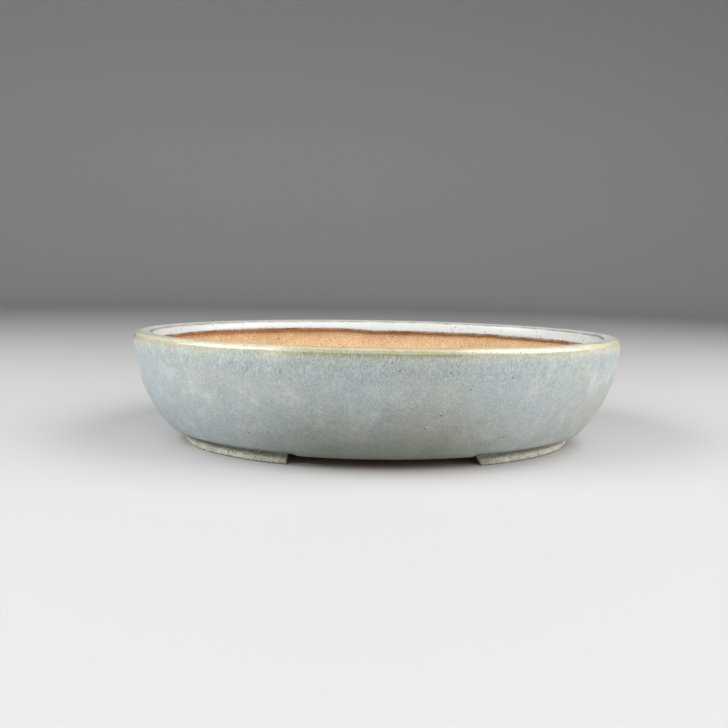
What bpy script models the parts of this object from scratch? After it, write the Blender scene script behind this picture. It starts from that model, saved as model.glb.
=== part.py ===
"""Oval bonsai pot with a thick inward lip, a bowed wall and four cut feet.

The pot stands on Z = 0 with its long way along X. Its front is towards -Y. The
pieces are the clay parts that the potter joins before firing, and the layer of
fired glaze that lies over them. All sizes are in metres.
"""
import math

import bmesh
import bpy
from mathutils import Matrix, Vector

MM = 0.001

# Overall size, measured over the glaze.
LENGTH = 270.0 * MM
DEPTH = 200.0 * MM
HEIGHT = 60.0 * MM

# Layers. Pieces that touch keep the seam gap between their faces.
GLAZE_THICKNESS = 0.8 * MM
WALL_THICKNESS = 6.0 * MM
FLOOR_THICKNESS = 7.0 * MM
SEAM_GAP = 0.3 * MM

# The lip, over its glaze.
LIP_WIDTH = 9.8 * MM
LIP_DROP = 6.0 * MM
LIP_UNDERCUT = 1.5 * MM
LIP_FALL = 0.4 * MM
LIP_OUTER_ROUND = 3.0 * MM
LIP_INNER_ROUND = 1.3 * MM

# The wall bows in to the feet, turns under there, and is filleted to the floor inside.
TURN_RADIUS = 11.4 * MM
INNER_FILLET = 10.0 * MM
FOOT_LEDGE = 1.0 * MM
GLAZE_MARGIN = 0.4 * MM

# Four feet, left where two gaps are cut through a low oval ring.
FOOT_HEIGHT = 5.0 * MM
FOOT_INSET = 25.0 * MM
FOOT_TAPER = 0.5 * MM
FOOT_WIDTH = 11.5 * MM
SOLE_MARGIN = 0.6 * MM
FRONT_GAP_HALF = 47.2 * MM
END_GAP_HALF = 36.7 * MM
FRONT_GAP_LEAN = 2.6 * MM
END_GAP_LEAN = 5.5 * MM

# Holes through the floor.
DRAIN_DIAMETER = 22.0 * MM
DRAIN_SPACING = 112.0 * MM
WIRE_DIAMETER = 6.5 * MM
WIRE_SPACING_X = 84.0 * MM
WIRE_SPACING_Y = 76.0 * MM

# Fineness of the meshes.
OVAL_STEPS = 60
FOOT_STEPS = 20
BOW_STEPS = 7
TURN_STEPS = 4
ROUND_STEPS = 3
DRAIN_STEPS = 28
WIRE_STEPS = 16

HALF_LENGTH = LENGTH / 2
HALF_DEPTH = DEPTH / 2
CLAY_FACE = GLAZE_THICKNESS + SEAM_GAP
INNER_FACE = CLAY_FACE + WALL_THICKNESS
FLOOR_TOP = FOOT_HEIGHT + FLOOR_THICKNESS
LIP_SEAT = HEIGHT - LIP_DROP - LIP_UNDERCUT
BOW_TOP = HEIGHT - LIP_OUTER_ROUND
BASE_INSET = FOOT_INSET + FOOT_LEDGE
UNDER = math.pi / 2


def bow_of_the_wall():
    """Radius and end lean of the bow that meets the turn at one tangent."""
    inward = BASE_INSET - TURN_RADIUS
    downward = BOW_TOP - FOOT_HEIGHT - TURN_RADIUS
    lean = 2 * math.atan2(inward, downward)
    return TURN_RADIUS + downward / math.sin(lean), lean


BOW_RADIUS, BOW_LEAN = bow_of_the_wall()
TURN_CENTRE = (BASE_INSET, FOOT_HEIGHT + TURN_RADIUS)
GLAZE_END_LEAN = math.acos((FOOT_LEDGE + GLAZE_MARGIN) / TURN_RADIUS)


def arc(centre, radius, start, end, steps):
    """Section points from lean start to lean end, where 0 faces outwards.

    A section point is (inset from the rim's outline, height).
    """
    points = []
    for step in range(steps + 1):
        lean = start + (end - start) * step / steps
        inset = centre[0] - radius * math.cos(lean)
        height = centre[1] - radius * math.sin(lean)
        points.append((inset, height))
    return points


def lean_at(height, depth):
    """Lean of the bow at a height, on the face that lies depth inside the glaze."""
    return math.asin((BOW_TOP - height) / (BOW_RADIUS - depth))


def bow(depth, start, end):
    """Stretch of the wall's bow, depth inside the glaze."""
    return arc((BOW_RADIUS, BOW_TOP), BOW_RADIUS - depth, start, end, BOW_STEPS)


def turn(depth, start, end):
    """Stretch of the tighter turn at the wall's foot, depth inside the glaze."""
    return arc(TURN_CENTRE, TURN_RADIUS - depth, start, end, TURN_STEPS)


def lip_crown(depth):
    """The lip's outer round, top and inner round, depth inside the glaze."""
    outer_centre = (LIP_OUTER_ROUND, HEIGHT - LIP_OUTER_ROUND)
    inner_centre = (LIP_WIDTH - LIP_INNER_ROUND, HEIGHT - LIP_FALL - LIP_INNER_ROUND)
    points = arc(outer_centre, LIP_OUTER_ROUND - depth, 0, -UNDER, ROUND_STEPS)
    points += arc(inner_centre, LIP_INNER_ROUND - depth, -UNDER, -math.pi, ROUND_STEPS)
    return points


def glaze_face(depth):
    """One face of the glaze, from the lip's inner edge over the rim to the feet."""
    inner_edge = (LIP_WIDTH - depth, HEIGHT - LIP_DROP)
    points = [inner_edge] + lip_crown(depth)[::-1]
    points += bow(depth, 0, BOW_LEAN)[1:]
    points += turn(depth, BOW_LEAN, GLAZE_END_LEAN)[1:]
    return points


def glaze_section():
    """The body's glaze: a skin of even thickness."""
    return glaze_face(0.0) + glaze_face(GLAZE_THICKNESS)[::-1]


def lip_section():
    """The lip's clay, with an undercut that runs back to the wall's inner face."""
    points = [(LIP_WIDTH - CLAY_FACE, HEIGHT - LIP_DROP)]
    points += lip_crown(CLAY_FACE)[::-1]
    points += [(CLAY_FACE, LIP_SEAT), (INNER_FACE, LIP_SEAT)]
    return points


def wall_section():
    """The wall's clay, from its seat under the lip to the toe that laps the floor."""
    seat = LIP_SEAT - SEAM_GAP
    toe = FLOOR_TOP + SEAM_GAP
    inner_radius = BOW_RADIUS - INNER_FACE
    meet = math.asin((BOW_TOP - toe - INNER_FILLET) / (inner_radius - INNER_FILLET))
    fillet_inset = BOW_RADIUS - (inner_radius - INNER_FILLET) * math.cos(meet)
    bare_start = GLAZE_END_LEAN + SEAM_GAP / TURN_RADIUS

    points = bow(CLAY_FACE, lean_at(seat, CLAY_FACE), BOW_LEAN)
    points += turn(CLAY_FACE, BOW_LEAN, bare_start)[1:]
    points += turn(0.0, bare_start, UNDER)
    points += [(BASE_INSET, toe)]
    points += arc((fillet_inset, toe + INNER_FILLET), INNER_FILLET, UNDER, meet, TURN_STEPS)
    points += bow(INNER_FACE, meet, lean_at(seat, INNER_FACE))[1:]
    return points


def foot_face(depth, height):
    """Point of a foot's tapered outer face, depth inside its glaze."""
    return FOOT_INSET + FOOT_TAPER * (1 - height / FOOT_HEIGHT) + depth, height


def foot_section():
    """A foot's clay, which narrows downwards on both sides."""
    top = FOOT_HEIGHT - SEAM_GAP
    sole_outer = foot_face(CLAY_FACE, 0.0)
    top_outer = foot_face(CLAY_FACE, top)
    top_inner = (FOOT_INSET + FOOT_TAPER + FOOT_WIDTH, top)
    sole_inner = (FOOT_INSET + FOOT_WIDTH, 0.0)
    return [sole_outer, sole_inner, top_inner, top_outer]


def foot_glaze_section():
    """The glaze on a foot's outer face, wiped back a little from the sole."""
    top = FOOT_HEIGHT - SEAM_GAP
    outer = [foot_face(0.0, top), foot_face(0.0, SOLE_MARGIN)]
    inner = [foot_face(GLAZE_THICKNESS, SOLE_MARGIN), foot_face(GLAZE_THICKNESS, top)]
    return outer + inner


def oval_outline(inset, start, end, steps):
    """Points of the rim's oval, moved inwards by the inset all the way round."""
    points = []
    for step in range(steps):
        angle = start + (end - start) * step / steps
        along, across = math.cos(angle), math.sin(angle)
        normal = Vector((HALF_DEPTH * along, HALF_LENGTH * across)).normalized()
        points.append(Vector((HALF_LENGTH * along, HALF_DEPTH * across)) - inset * normal)
    return points


def circle_outline(centre, diameter, steps):
    """Points round a hole in the floor."""
    points = []
    for step in range(steps):
        angle = 2 * math.pi * step / steps
        points.append(Vector(centre) + diameter / 2 * Vector((math.cos(angle), math.sin(angle))))
    return points


def add_spline(curve, points, cyclic):
    """Add a straight-sided spline through flat points."""
    spline = curve.splines.new("POLY")
    spline.points.add(len(points) - 1)
    for point, place in zip(spline.points, points):
        point.co = (place[0], place[1], 0.0, 1.0)
    spline.use_cyclic_u = cyclic
    spline.use_smooth = True


def add_guide(name, section):
    """A hidden closed outline that a sweep carries, with its insets towards -X."""
    curve = bpy.data.curves.new(name, "CURVE")
    curve.dimensions = "2D"
    curve.fill_mode = "NONE"
    add_spline(curve, [(-inset, height) for inset, height in section], True)
    guide = bpy.data.objects.new(name, curve)
    guide.hide_render = True
    guide.display_type = "WIRE"
    HELPERS.objects.link(guide)
    return guide


def sweep(name, section, path, cyclic):
    """Carry a section along a path; the section's inset points into the oval."""
    curve = bpy.data.curves.new(name, "CURVE")
    curve.dimensions = "3D"
    curve.twist_mode = "Z_UP"
    curve.fill_mode = "FULL"
    curve.bevel_mode = "OBJECT"
    curve.bevel_object = add_guide(name + "_section", section)
    curve.use_fill_caps = not cyclic
    add_spline(curve, path, cyclic)
    swept = bpy.data.objects.new(name, curve)
    PARTS.objects.link(swept)
    return swept


def sweep_round(name, section):
    """Carry a section once round the oval."""
    return sweep(name, section, oval_outline(0.0, 0.0, 2 * math.pi, OVAL_STEPS), True)


def curve_to_mesh(swept):
    """Make a swept curve a mesh with welded caps, so that it can be cut."""
    bpy.context.view_layer.update()
    evaluated = swept.evaluated_get(bpy.context.evaluated_depsgraph_get())
    mesh = bpy.data.meshes.new_from_object(evaluated)
    welded = bmesh.new()
    welded.from_mesh(mesh)
    bmesh.ops.remove_doubles(welded, verts=welded.verts, dist=0.01 * MM)
    welded.to_mesh(mesh)
    welded.free()
    name = swept.name
    place = swept.matrix_world.copy()
    bpy.data.objects.remove(swept)
    piece = bpy.data.objects.new(name, mesh)
    piece.matrix_world = place
    PARTS.objects.link(piece)
    return piece


def cut(piece, cutter):
    """Take a cutter's space out of a piece."""
    modifier = piece.modifiers.new("cut_" + cutter.name, "BOOLEAN")
    modifier.operation = "DIFFERENCE"
    modifier.solver = "EXACT"
    modifier.object = cutter


def add_gap_cutter(name, half_at_sole, lean, across):
    """A long wedge through the foot ring, wider at the sole by its lean."""
    over = FOOT_HEIGHT
    rate = lean / FOOT_HEIGHT
    low_half = half_at_sole + rate * over
    high_half = half_at_sole - lean - rate * over
    corner = math.sqrt(2.0)
    wedge = bmesh.new()
    bmesh.ops.create_cone(
        wedge,
        cap_ends=True,
        segments=4,
        radius1=low_half * corner,
        radius2=high_half * corner,
        depth=FOOT_HEIGHT + 2 * over,
        matrix=Matrix.Rotation(math.pi / 4, 4, "Z"),
    )
    long_way = LENGTH / high_half
    stretch = Vector((long_way, 1, 1)) if across else Vector((1, long_way, 1))
    bmesh.ops.scale(wedge, vec=stretch, verts=wedge.verts)
    mesh = bpy.data.meshes.new(name)
    wedge.to_mesh(mesh)
    wedge.free()
    cutter = bpy.data.objects.new(name, mesh)
    cutter.location.z = FOOT_HEIGHT / 2
    cutter.hide_render = True
    cutter.display_type = "WIRE"
    HELPERS.objects.link(cutter)
    return cutter


def add_floor():
    """The flat floor slab with two drain holes and four holes for tie wires."""
    curve = bpy.data.curves.new("floor_slab", "CURVE")
    curve.dimensions = "2D"
    curve.fill_mode = "BOTH"
    curve.extrude = FLOOR_THICKNESS / 2
    edge = BASE_INSET + SEAM_GAP
    add_spline(curve, oval_outline(edge, 0.0, 2 * math.pi, OVAL_STEPS), True)
    for side in (-1, 1):
        drain = (side * DRAIN_SPACING / 2, 0.0)
        add_spline(curve, circle_outline(drain, DRAIN_DIAMETER, DRAIN_STEPS), True)
        for row in (-1, 1):
            wire = (side * WIRE_SPACING_X / 2, row * WIRE_SPACING_Y / 2)
            add_spline(curve, circle_outline(wire, WIRE_DIAMETER, WIRE_STEPS), True)
    slab = bpy.data.objects.new("floor_slab", curve)
    slab.location.z = FOOT_HEIGHT + FLOOR_THICKNESS / 2
    PARTS.objects.link(slab)
    return slab


def add_feet():
    """Four feet and the glaze on each, cut by the same two gaps."""
    cutters = (
        add_gap_cutter("front_gap_cutter", FRONT_GAP_HALF, FRONT_GAP_LEAN, False),
        add_gap_cutter("end_gap_cutter", END_GAP_HALF, END_GAP_LEAN, True),
    )
    corners = ("back_right", "back_left", "front_left", "front_right")
    feet, glazes = [], []
    for quarter, corner in enumerate(corners):
        start = quarter * UNDER
        path = oval_outline(0.0, start, start + UNDER * (FOOT_STEPS + 1) / FOOT_STEPS, FOOT_STEPS + 1)
        feet.append(curve_to_mesh(sweep("foot_" + corner, foot_section(), path, False)))
        glazes.append(curve_to_mesh(sweep("foot_glaze_" + corner, foot_glaze_section(), path, False)))
        for cutter in cutters:
            cut(feet[-1], cutter)
            cut(glazes[-1], cutter)
    return feet, glazes


def finish(piece, colour, roughness):
    """Give a piece its own fired-clay or glaze material."""
    material = bpy.data.materials.new(piece.name + "_finish")
    material.use_nodes = True
    shader = material.node_tree.nodes["Principled BSDF"]
    shader.inputs["Base Color"].default_value = (*colour, 1.0)
    shader.inputs["Roughness"].default_value = roughness
    shader.inputs["Metallic"].default_value = 0.0
    piece.data.materials.append(material)


def glazed(piece):
    """Satin grey-green glaze."""
    finish(piece, (0.47, 0.53, 0.49), 0.3)


def thinly_glazed(piece):
    """Thin cream glaze over the rough foot clay."""
    finish(piece, (0.50, 0.47, 0.36), 0.5)


def bare_clay(piece):
    """Unglazed buff-orange stoneware."""
    finish(piece, (0.56, 0.33, 0.18), 0.9)


def new_collection(name):
    """Add a collection to the scene."""
    collection = bpy.data.collections.new(name)
    bpy.context.scene.collection.children.link(collection)
    return collection


for old in list(bpy.data.objects):
    bpy.data.objects.remove(old)

PARTS = new_collection("oval_bonsai_pot")
HELPERS = new_collection("sections_and_cutters")

bare_clay(add_floor())
bare_clay(sweep_round("side_wall", wall_section()))
bare_clay(sweep_round("rim_lip", lip_section()))
glazed(sweep_round("glaze_coat", glaze_section()))

clay_feet, foot_glazes = add_feet()
for clay_foot in clay_feet:
    bare_clay(clay_foot)
for foot_glaze in foot_glazes:
    thinly_glazed(foot_glaze)
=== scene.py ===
"""Looks of the oval bonsai pot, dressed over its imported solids.

The pot is hand-built, grogged stoneware under a satin grey-green glaze. Each piece
here is a fine mesh that takes the place of one solid. Lengths are in metres, and MM
turns millimetres into them. The pot's front is towards -Y.
"""

import logging
import math
from dataclasses import dataclass, field
from enum import Enum
from itertools import product

import bpy
import numpy as np
from mathutils import Matrix, Vector


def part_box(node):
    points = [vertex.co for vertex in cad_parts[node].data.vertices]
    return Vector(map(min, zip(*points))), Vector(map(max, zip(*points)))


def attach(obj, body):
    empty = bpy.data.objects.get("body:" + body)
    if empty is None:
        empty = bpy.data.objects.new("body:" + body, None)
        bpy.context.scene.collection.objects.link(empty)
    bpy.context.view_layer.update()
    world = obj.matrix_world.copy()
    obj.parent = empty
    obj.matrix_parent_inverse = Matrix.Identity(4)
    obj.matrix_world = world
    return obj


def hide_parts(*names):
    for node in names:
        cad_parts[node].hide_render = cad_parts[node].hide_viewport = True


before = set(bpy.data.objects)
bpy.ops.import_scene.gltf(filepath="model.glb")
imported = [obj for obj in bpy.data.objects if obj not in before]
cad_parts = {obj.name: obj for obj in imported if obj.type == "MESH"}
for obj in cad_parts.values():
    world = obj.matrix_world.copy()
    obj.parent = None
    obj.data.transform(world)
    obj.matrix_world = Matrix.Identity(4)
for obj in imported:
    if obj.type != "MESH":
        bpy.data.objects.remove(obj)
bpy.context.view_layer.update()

LOG = logging.getLogger("oval_bonsai_pot")
MM = 0.001
QUARTER = math.pi / 2

# Short names for Blender's types, and for sizes that come in twos and threes.
Tree, Socket = bpy.types.NodeTree, bpy.types.NodeSocket
Material, Thing = bpy.types.Material, bpy.types.Object
Pair, Triple = tuple[float, float], tuple[float, float, float]

# Sockets of the colour mixing node, which has one set for each kind of value.
MIX_FIRST, MIX_SECOND, MIX_RESULT = 6, 7, 2
# Most of a noise pattern lies between these values.
NOISE_LOW, NOISE_HIGH = 0.3, 0.7
# Fired glaze, and the glass in fired clay.
FIRED_IOR = 1.5


class Slot(Enum):
    """Material slots."""

    BODY_GLAZE = "body_glaze"
    FOOT_GLAZE = "foot_glaze"
    BARE_CLAY = "bare_clay"


class Trait(Enum):
    """Values that a mesh carries for its finish."""

    RUN = "run"
    NEAR_FOOT = "near_foot"
    MID_SIDE = "mid_side"
    OLIVE_SIDE = "olive_side"


def smooth_step(value: np.ndarray, low: float, high: float) -> np.ndarray:
    """Ease from 0 at low to 1 at high.

    Args:
        value: what is measured.
        low: where the result is 0.
        high: where the result is 1; it may be below low.

    Returns:
        The eased share, as long as value.
    """
    share = np.clip((value - low) / (high - low), 0.0, 1.0)
    return share * share * (3.0 - 2.0 * share)


class HandNoise:
    """Smooth unevenness left by hands and fire, the same on every run."""

    CELLS = 32

    def __init__(self, seed: int) -> None:
        """Draw the lattice of values, which the seed fixes."""
        self.lattice = np.random.default_rng(seed).uniform(-1.0, 1.0, (self.CELLS,) * 3)

    def at(self, places: np.ndarray, grain: float) -> np.ndarray:
        """Value at each place.

        Args:
            places: points in metres, with x, y and z last.
            grain: distance between one bump and the next, in metres.

        Returns:
            One value from -1 to 1 for each point.
        """
        scaled = places / grain
        cell = np.floor(scaled).astype(int)
        share = smooth_step(scaled - cell, 0.0, 1.0)
        value = np.zeros(places.shape[:-1])
        for corner in product((0, 1), repeat=3):
            far = np.array(corner, dtype=bool)
            weight = np.where(far, share, 1.0 - share).prod(axis=-1)
            index = (cell + far) % self.CELLS
            value += weight * self.lattice[index[..., 0], index[..., 1], index[..., 2]]
        return value

    def rough(self, places: np.ndarray, coarse: float, fine: float) -> np.ndarray:
        """Value of coarse bumps with finer ones half as high on them."""
        return self.at(places, coarse) + self.at(places, fine) / 2


def running_length(points: np.ndarray) -> np.ndarray:
    """Distance along a line of points from its first one to each."""
    steps = np.linalg.norm(np.diff(points, axis=0), axis=1)
    return np.concatenate([[0.0], np.cumsum(steps)])


def arc(centre: Pair, radius: float, start: float, end: float, steps: int) -> np.ndarray:
    """Section points on a round, where lean 0 faces outwards and 90 degrees down.

    Args:
        centre: inset and height of the round's centre.
        radius: radius of the round.
        start: first lean, in radians.
        end: last lean, in radians.
        steps: number of spaces between the points.

    Returns:
        Rows of inset and height.
    """
    leans = np.linspace(start, end, steps + 1)
    insets = centre[0] - radius * np.cos(leans)
    heights = centre[1] - radius * np.sin(leans)
    return np.stack([insets, heights], axis=1)


def rounded_section(corners: list[Triple], spacing: float) -> np.ndarray:
    """Closed outline with rounded corners and evenly spaced points.

    Args:
        corners: inset, height and radius of each corner, in order.
        spacing: distance between points.

    Returns:
        Rows of inset and height, without the first point again at the end.
    """
    outline = []
    for index, (inset, height, radius) in enumerate(corners):
        corner = np.array([inset, height])
        before = np.array(corners[index - 1][:2]) - corner
        after = np.array(corners[(index + 1) % len(corners)][:2]) - corner
        before /= np.hypot(*before)
        after /= np.hypot(*after)
        half_angle = math.acos(float(np.clip(before @ after, -1.0, 1.0))) / 2
        reach = radius / math.tan(half_angle)
        start, end = corner + before * reach, corner + after * reach
        for share in np.linspace(0.0, 1.0, 7):
            left = 1 - share
            outline.append(left**2 * start + 2 * share * left * corner + share**2 * end)
    points = np.array(outline + [outline[0]])
    along = running_length(points)
    count = max(12, round(along[-1] / spacing))
    places = np.linspace(0.0, along[-1], count, endpoint=False)
    return np.stack([np.interp(places, along, points[:, axis]) for axis in (0, 1)], axis=1)


@dataclass(frozen=True)
class Oval:
    """The rim's outline seen from above, and the lines that run inside it."""

    half_length: float
    half_depth: float

    def even_angles(self, count: int) -> np.ndarray:
        """Angles that step evenly along the outline.

        Args:
            count: number of steps once round.

        Returns:
            The angles, from 0 and without the full turn.
        """
        fine = np.linspace(0.0, 2 * math.pi, 20 * count + 1)
        along = running_length(self.place(fine, np.zeros(1), np.zeros(1)))
        return np.interp(np.linspace(0.0, along[-1], count, endpoint=False), along, fine)

    def outward(self, angles: np.ndarray) -> np.ndarray:
        """Unit directions outwards at these angles, level with the ground."""
        x, y = self.half_depth * np.cos(angles), self.half_length * np.sin(angles)
        outward = np.stack([x, y, 0 * angles], axis=-1)
        return outward / np.linalg.norm(outward, axis=-1, keepdims=True)

    def place(self, angles: np.ndarray, insets: np.ndarray, heights: np.ndarray) -> np.ndarray:
        """Points that lie inside the outline by their insets.

        Args:
            angles: places round the oval, in radians.
            insets: distances inwards from the rim's outline.
            heights: heights above the ground.

        Returns:
            Points with x, y and z last, in the broadcast shape.
        """
        along, across = np.cos(angles), np.sin(angles)
        outward_x, outward_y = self.half_depth * along, self.half_length * across
        size = np.hypot(outward_x, outward_y)
        x = self.half_length * along - insets * outward_x / size
        y = self.half_depth * across - insets * outward_y / size
        return np.stack(np.broadcast_arrays(x, y, heights), axis=-1)

    def sweep(self, rows: np.ndarray, columns: int) -> tuple[np.ndarray, np.ndarray]:
        """Carry a section once round the oval.

        Args:
            rows: the section's insets and heights.
            columns: number of steps round.

        Returns:
            A grid of points, and the outward direction of each column.
        """
        angles = self.even_angles(columns)
        points = self.place(angles[None, :], rows[:, :1], rows[:, 1:])
        return points, self.outward(angles)


@dataclass(frozen=True)
class PotForm:
    """The pot's form. Its overall sizes come from the solids, the rest repeats theirs."""

    oval: Oval
    height: float
    underside: float
    floor_top: float
    glaze_thickness: float = 0.8 * MM
    wall_thickness: float = 6.0 * MM
    clay_face: float = 1.1 * MM
    lip_width: float = 9.8 * MM
    lip_drop: float = 6.0 * MM
    lip_undercut: float = 1.5 * MM
    lip_fall: float = 0.4 * MM
    lip_outer_round: float = 3.0 * MM
    lip_inner_round: float = 1.3 * MM
    lip_face_lean: float = math.radians(15.0)
    lip_roll: float = 0.7 * MM
    lip_roll_height: float = 2.4 * MM
    turn_radius: float = 11.4 * MM
    inner_fillet: float = 10.0 * MM
    foot_inset: float = 25.0 * MM
    foot_ledge: float = 1.0 * MM
    glaze_margin: float = 0.4 * MM

    @classmethod
    def from_solids(cls) -> "PotForm":
        """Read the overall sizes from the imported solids."""
        low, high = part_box("glaze_coat")
        floor_low, floor_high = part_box("floor_slab")
        oval = Oval((high[0] - low[0]) / 2, (high[1] - low[1]) / 2)
        return cls(oval=oval, height=high[2], underside=floor_low[2], floor_top=floor_high[2])

    @property
    def base_inset(self) -> float:
        """Inset at which the wall's turn reaches the flat underside."""
        return self.foot_inset + self.foot_ledge

    @property
    def inner_face(self) -> float:
        """Depth of the wall's inner face inside the glaze."""
        return self.clay_face + self.wall_thickness

    @property
    def lip_seat(self) -> float:
        """Height at which the lip sits on the wall."""
        return self.height - self.lip_drop - self.lip_undercut

    @property
    def bow_top(self) -> float:
        """Height at which the wall stands upright, under the shoulder's round."""
        return self.height - self.lip_outer_round

    @property
    def bow_lean(self) -> float:
        """Lean at which the bow meets the turn at one tangent."""
        inward = self.base_inset - self.turn_radius
        return 2 * math.atan2(inward, self.bow_top - self.underside - self.turn_radius)

    @property
    def bow_radius(self) -> float:
        """Radius of the wall's bow."""
        downward = self.bow_top - self.underside - self.turn_radius
        return self.turn_radius + downward / math.sin(self.bow_lean)

    @property
    def glaze_end_lean(self) -> float:
        """Lean at which the outer glaze stops, just outside the feet."""
        return math.acos((self.foot_ledge + self.glaze_margin) / self.turn_radius)

    def shoulder(self, depth: float, steps: int) -> np.ndarray:
        """The round from the lip's top to the wall, depth inside the glaze."""
        centre = (self.lip_outer_round, self.bow_top)
        return arc(centre, self.lip_outer_round - depth, -QUARTER, 0.0, steps)

    def bow(self, depth: float, start: float, end: float, steps: int) -> np.ndarray:
        """Stretch of the wall's bow, depth inside the glaze."""
        return arc((self.bow_radius, self.bow_top), self.bow_radius - depth, start, end, steps)

    def turn(self, depth: float, start: float, end: float, steps: int) -> np.ndarray:
        """Stretch of the tighter turn at the wall's foot, depth inside the glaze."""
        centre = (self.base_inset, self.underside + self.turn_radius)
        return arc(centre, self.turn_radius - depth, start, end, steps)

    def lip_face(self, depth: float, steps: int) -> np.ndarray:
        """The lip's inner face and inner round, from its lower edge up to the top.

        Args:
            depth: distance inside the glaze.
            steps: number of spaces down the face.

        Returns:
            Rows of inset and height.
        """
        centre = (
            self.lip_width - self.lip_inner_round,
            self.height - self.lip_fall - self.lip_inner_round,
        )
        last_lean = -math.pi + self.lip_face_lean
        edge = arc(centre, self.lip_inner_round - depth, last_lean, -QUARTER, 8)
        bottom = self.height - self.lip_drop
        spread = math.tan(self.lip_face_lean) * (edge[0, 1] - bottom)
        face = np.linspace((edge[0, 0] + spread, bottom), edge[0], steps, endpoint=False)
        # The fingers that drew the lip down left its lower edge rolled under.
        turned = np.clip(1.0 - (face[:, 1] - bottom) / self.lip_roll_height, 0.0, 1.0)
        face[:, 0] -= self.lip_roll * turned**2
        return np.concatenate([face, edge])

    def glaze_face(self, depth: float, fineness: float) -> tuple[np.ndarray, int]:
        """One face of the body's glaze, from the lip's lower edge to the feet.

        Args:
            depth: distance inside the glaze's outer face.
            fineness: number of points for each millimetre.

        Returns:
            Rows of inset and height, and the row at which the shoulder starts.
        """
        def steps(length: float) -> int:
            """Number of spaces on a stretch of this length."""
            return max(2, round(fineness * length / MM))

        inside = self.lip_face(depth, 2 * steps(self.lip_drop))
        shoulder = self.shoulder(depth, 14)
        top_width = self.lip_width - self.lip_outer_round - self.lip_inner_round
        top = np.linspace(inside[-1], shoulder[0], steps(top_width), endpoint=False)[1:]
        bow = self.bow(depth, 0.0, self.bow_lean, steps(self.bow_radius * self.bow_lean))
        turn_length = self.turn_radius * (self.glaze_end_lean - self.bow_lean)
        turn = self.turn(depth, self.bow_lean, self.glaze_end_lean, 2 * steps(turn_length))
        face = np.concatenate([inside, top, shoulder, bow[1:], turn[1:]])
        return face, len(inside) + len(top)


def bead(outer: np.ndarray, inner: np.ndarray, forward: np.ndarray, steps: int = 6) -> np.ndarray:
    """Round end of a glaze layer, between its two faces.

    Args:
        outer: last point of the outer face.
        inner: last point of the inner face.
        forward: direction in which the layer ends.
        steps: number of spaces on the round.

    Returns:
        The points between outer and inner.
    """
    centre = (outer + inner) / 2
    radius = np.hypot(*(outer - inner)) / 2
    side = (outer - centre) / radius
    forward = forward / np.hypot(*forward)
    turns = np.linspace(0.0, math.pi, steps + 1)[1:-1, None]
    return centre + radius * (side * np.cos(turns) + forward * np.sin(turns))


def grid_normals(points: np.ndarray, wrap_columns: bool) -> np.ndarray:
    """Unit normals of a grid whose rows wrap round a section.

    Args:
        points: rows, columns and x, y, z.
        wrap_columns: whether the columns close round the oval.

    Returns:
        One unit vector for each point, all to the same side.
    """
    down = np.roll(points, -1, axis=0) - np.roll(points, 1, axis=0)
    if wrap_columns:
        along = np.roll(points, -1, axis=1) - np.roll(points, 1, axis=1)
    else:
        along = np.gradient(points, axis=1)
    normals = np.cross(along, down)
    return normals / np.maximum(np.linalg.norm(normals, axis=-1, keepdims=True), 1e-12)


def add_object(name: str, data: bpy.types.ID) -> Thing:
    """Put a mesh, curve, light or camera into the scene."""
    thing = bpy.data.objects.new(name, data)
    bpy.context.scene.collection.objects.link(thing)
    return thing


def grid_piece(
    name: str,
    points: np.ndarray,
    wrap_columns: bool,
    traits: dict[Trait, np.ndarray] | None = None,
) -> Thing:
    """Make one closed body from a grid whose rows wrap round its section.

    Args:
        name: the piece's name.
        points: rows, columns and x, y, z.
        wrap_columns: whether the columns close round the oval, or end in caps.
        traits: values for each point of the grid.

    Returns:
        The new object, in the scene.
    """
    rows, columns = points.shape[:2]
    index = np.arange(rows * columns).reshape(rows, columns)
    if wrap_columns:
        left, right = index, np.roll(index, -1, axis=1)
    else:
        left, right = index[:, :-1], index[:, 1:]
    below = (np.roll(side, -1, axis=0) for side in (right, left))
    quads = np.stack([left, right, *below], axis=-1).reshape(-1, 4)
    places = points.reshape(-1, 3)
    first, second, third, fourth = (places[quads[:, corner]] for corner in range(4))
    volume = np.einsum("ij,ij->", first, np.cross(second, third))
    volume += np.einsum("ij,ij->", first, np.cross(third, fourth))
    faces = quads.tolist()
    if not wrap_columns:
        faces += [index[::-1, 0].tolist(), index[:, -1].tolist()]
    if volume < 0:
        faces = [face[::-1] for face in faces]
    mesh = bpy.data.meshes.new(name)
    mesh.from_pydata(places.tolist(), [], faces)
    mesh.shade_smooth()
    for trait, values in (traits or {}).items():
        layer = mesh.attributes.new(trait.value, "FLOAT", "POINT")
        layer.data.foreach_set("value", np.ascontiguousarray(values, dtype=np.float32).ravel())
    return add_object(name, mesh)


def settle(piece: Thing, node: str, material: Material) -> None:
    """Dress a piece and let it stand for its solid.

    Args:
        piece: the fine mesh.
        node: the solid that it takes the place of.
        material: its finish.
    """
    piece.data.materials.append(material)
    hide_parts(node)
    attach(piece, "root")
    LOG.info("%s stands for %s: %d faces", piece.name, node, len(piece.data.polygons))


def linear(colour: str) -> tuple[float, float, float, float]:
    """Turn an sRGB hex colour into linear light.

    Args:
        colour: six hex digits after a hash sign.

    Returns:
        Red, green, blue and a full alpha.
    """
    shares = [int(colour[at : at + 2], 16) / 255 for at in (1, 3, 5)]
    light = [s / 12.92 if s <= 0.04045 else ((s + 0.055) / 1.055) ** 2.4 for s in shares]
    return (*light, 1.0)


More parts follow.
